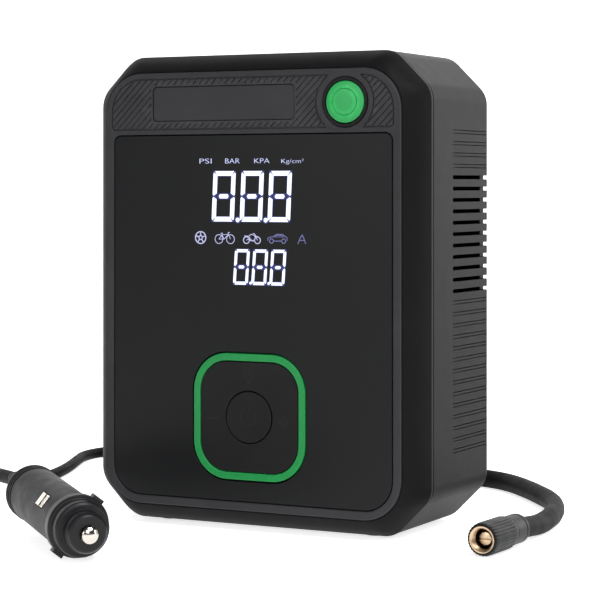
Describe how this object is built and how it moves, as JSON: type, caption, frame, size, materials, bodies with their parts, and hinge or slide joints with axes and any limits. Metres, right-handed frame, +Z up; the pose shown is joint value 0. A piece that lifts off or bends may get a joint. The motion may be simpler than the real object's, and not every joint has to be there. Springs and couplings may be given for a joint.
{
  "type": "portable tyre inflator",
  "caption": "Corded 12 V tyre inflator: upright case with lit display and 4-way pad, air hose with screw-on chuck, and a lead with a 12 V plug.",
  "frame": {"origin": "on the surface that the feet rest on, under the middle of the case without its hose and lead", "axes": "+Z up, -Y out of the display panel, +X to the right as the panel is read"},
  "size_m": [0.288, 0.3004, 0.187],
  "materials": {
    "case_plastic": "satin moulded ABS with a fine grain",
    "frame_plastic": "fine spark-textured ABS",
    "panel_gloss": "polished smoked acrylic",
    "button_green": "satin green plastic",
    "light_guide": "translucent green light guide",
    "pad_plastic": "soft-touch matte plastic",
    "silicone": "moulded silicone",
    "foot_rubber": "matte rubber",
    "hose_rubber": "smooth rubber hose cover",
    "lead_pvc": "smooth PVC sheath",
    "relief_grey": "grey moulded PVC",
    "plug_plastic": "satin moulded nylon",
    "chuck_plastic": "knurled moulded nylon",
    "brass": "turned brass",
    "nickel": "nickel plate",
    "steel": "zinc-plated steel",
    "zinc_case": "drawn steel can",
    "aluminium": "die-cast aluminium",
    "board_green": "solder mask",
    "display_white": "white display housing",
    "nylon_natural": "natural nylon",
    "tube_silicone": "translucent silicone tube",
    "seal_brown": "filled PTFE seal",
    "wire_insulation": "PVC wire insulation",
    "spring_steel": "music wire",
    "fuse_ceramic": "ceramic fuse body"
  },
  "bodies": {
    "root": {"front_cover": "case_plastic", "face_frame": "frame_plastic", "name_plate": "frame_plastic", "display_panel": "panel_gloss", "button_collar": "case_plastic", "bleed_button_spring": "spring_steel", "bleed_valve": "nylon_natural", "light_ring": "light_guide", "rear_housing": "case_plastic", "case_screws": "steel", "feet": "foot_rubber", "hose_gland": "chuck_plastic", "cord_gland": "lead_pvc", "main_board": "board_green", "board_screws": "steel", "display_module": "display_white", "snap_domes": "spring_steel", "pressure_sensor": "chuck_plastic", "motor_can": "zinc_case", "motor_end_cap": "chuck_plastic", "motor_leads": "wire_insulation", "pump_bracket": "zinc_case", "pump_mounts": "foot_rubber", "pump_screws": "steel", "gear_axle": "steel", "pump_cylinder": "aluminium", "cylinder_head": "aluminium", "outlet_tube": "tube_silicone", "release_tube": "tube_silicone", "air_hose_inner_run": "hose_rubber", "air_hose_coil": "hose_rubber", "air_hose": "hose_rubber", "chuck_ferrule": "chuck_plastic", "chuck_core": "brass", "power_cord_inner_run": "lead_pvc", "power_cord_coil": "lead_pvc", "power_cord": "lead_pvc", "plug_strain_relief": "relief_grey", "plug_body": "plug_plastic", "plug_fuse": "fuse_ceramic", "plug_tip_spring": "spring_steel"},
    "bleed_button": {"bleed_button": "button_green"},
    "pad_membrane": {"keypad_membrane": "silicone"},
    "pad": {"control_pad": "pad_plastic"},
    "power_button": {"power_button": "pad_plastic"},
    "rotor": {"motor_shaft": "steel", "pinion": "brass", "cooling_fan": "chuck_plastic"},
    "crank_gear": {"drive_gear": "nylon_natural", "crank_pin": "steel"},
    "rod": {"connecting_rod": "aluminium", "wrist_pin": "steel"},
    "piston": {"piston": "aluminium", "piston_ring": "seal_brown"},
    "chuck_nut": {"chuck_collar": "chuck_plastic", "chuck_insert": "brass"},
    "plug_cap": {"plug_nose": "plug_plastic"},
    "tip": {"plug_tip": "nickel"},
    "contact_left": {"plug_contact_left": "nickel"},
    "contact_right": {"plug_contact_right": "nickel"}
  },
  "joints": [
    {"name": "bleed_button_press", "type": "slide", "parent": "root", "child": "bleed_button", "axis": [0, 1, 0], "range_m": [0, 0.003], "stiffness_N_per_m": 600, "springref_m": -0.001, "deforming": ["bleed_button_spring"]},
    {"name": "pad_rock_sideways", "type": "hinge", "parent": "root", "child": "pad_membrane", "pos_m": [0, -0.02845, 0.0448], "axis": [0, 0, 1], "range_deg": [-1.5, 1.5], "stiffness_Nm_per_rad": 1.2},
    {"name": "pad_rock_up_down", "type": "hinge", "parent": "pad_membrane", "child": "pad", "pos_m": [0, -0.03115, 0.0448], "axis": [1, 0, 0], "range_deg": [-1.5, 1.5], "stiffness_Nm_per_rad": 1.2},
    {"name": "power_button_press", "type": "slide", "parent": "pad", "child": "power_button", "axis": [0, 1, 0], "range_m": [0, 0.0008], "stiffness_N_per_m": 900, "springref_m": -0.0006},
    {"name": "motor_spin", "type": "hinge", "parent": "root", "child": "rotor", "pos_m": [0, 0.004, 0.116], "axis": [1, 0, 0], "continuous": true},
    {"name": "gear_spin", "type": "hinge", "parent": "root", "child": "crank_gear", "pos_m": [0.0145, 0.004, 0.0908], "axis": [1, 0, 0], "continuous": true},
    {"name": "rod_swing", "type": "hinge", "parent": "crank_gear", "child": "rod", "pos_m": [0.0235, 0.004, 0.0968], "axis": [1, 0, 0], "continuous": true},
    {"name": "piston_stroke", "type": "slide", "parent": "root", "child": "piston", "axis": [0, 0, -1], "range_m": [0, 0.012]},
    {"name": "chuck_turn", "type": "hinge", "parent": "root", "child": "chuck_nut", "pos_m": [0.10283, -0.03328, 0.0064], "axis": [-0.0436, -0.999, 0], "continuous": true},
    {"name": "plug_nose_unscrew", "type": "hinge", "parent": "root", "child": "plug_cap", "pos_m": [-0.02286, -0.11689, 0.0114], "axis": [0.7642, -0.6412, -0.0698], "continuous": true},
    {"name": "plug_tip_press", "type": "slide", "parent": "plug_cap", "child": "tip", "axis": [-0.7642, 0.6412, 0.0698], "range_m": [0, 0.0025], "stiffness_N_per_m": 700, "springref_m": -0.001, "deforming": ["plug_tip_spring"]},
    {"name": "plug_contact_left_press", "type": "slide", "parent": "root", "child": "contact_left", "axis": [0.4736, 0.6313, -0.6142], "range_m": [0, 0.001], "stiffness_N_per_m": 800, "springref_m": -0.0008},
    {"name": "plug_contact_right_press", "type": "slide", "parent": "root", "child": "contact_right", "axis": [-0.4736, -0.6313, 0.6142], "range_m": [0, 0.001], "stiffness_N_per_m": 800, "springref_m": -0.0008}
  ],
  "couplings": [
    {"joint": "gear_spin", "follows": "motor_spin", "ratio": -0.33333},
    {"joint": "rod_swing", "follows": "motor_spin", "ratio": 0.33333}
  ]
}
